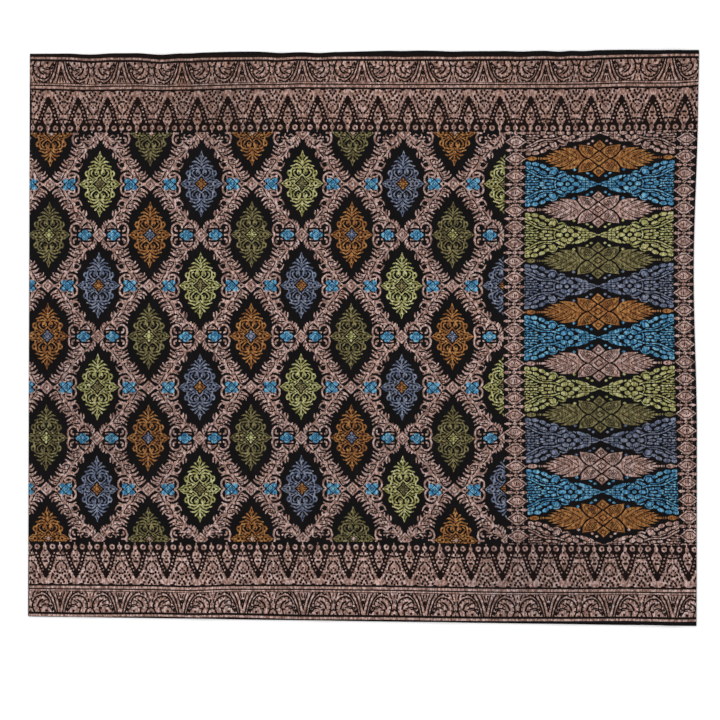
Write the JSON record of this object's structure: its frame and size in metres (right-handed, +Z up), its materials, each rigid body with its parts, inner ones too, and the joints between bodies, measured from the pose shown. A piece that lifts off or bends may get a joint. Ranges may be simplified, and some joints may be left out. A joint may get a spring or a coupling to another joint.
{
  "type": "samping",
  "caption": "Samping of dark songket laid flat: a lap-sewn tube of cloth with woven borders along both selvedges, a flowered body field and a head panel beside the right fold.",
  "frame": {"origin": "on the resting surface, under the middle of the flattened tube", "axes": "+X across the flattened tube towards the fold beside the head panel, +Y from the lower to the upper selvedge, +Z up off the surface"},
  "size_m": [1.0028, 0.8609, 0.0045],
  "materials": {
    "songket_cloth": "matt plain-woven ground, near black",
    "rose_gold_yarn": "soft metallic floating weft",
    "coloured_yarn": "satin floating weft in orange, olive, green, blue and turquoise"
  },
  "bodies": {
    "root": {"samping_cloth": "songket_cloth"}
  },
  "joints": []
}
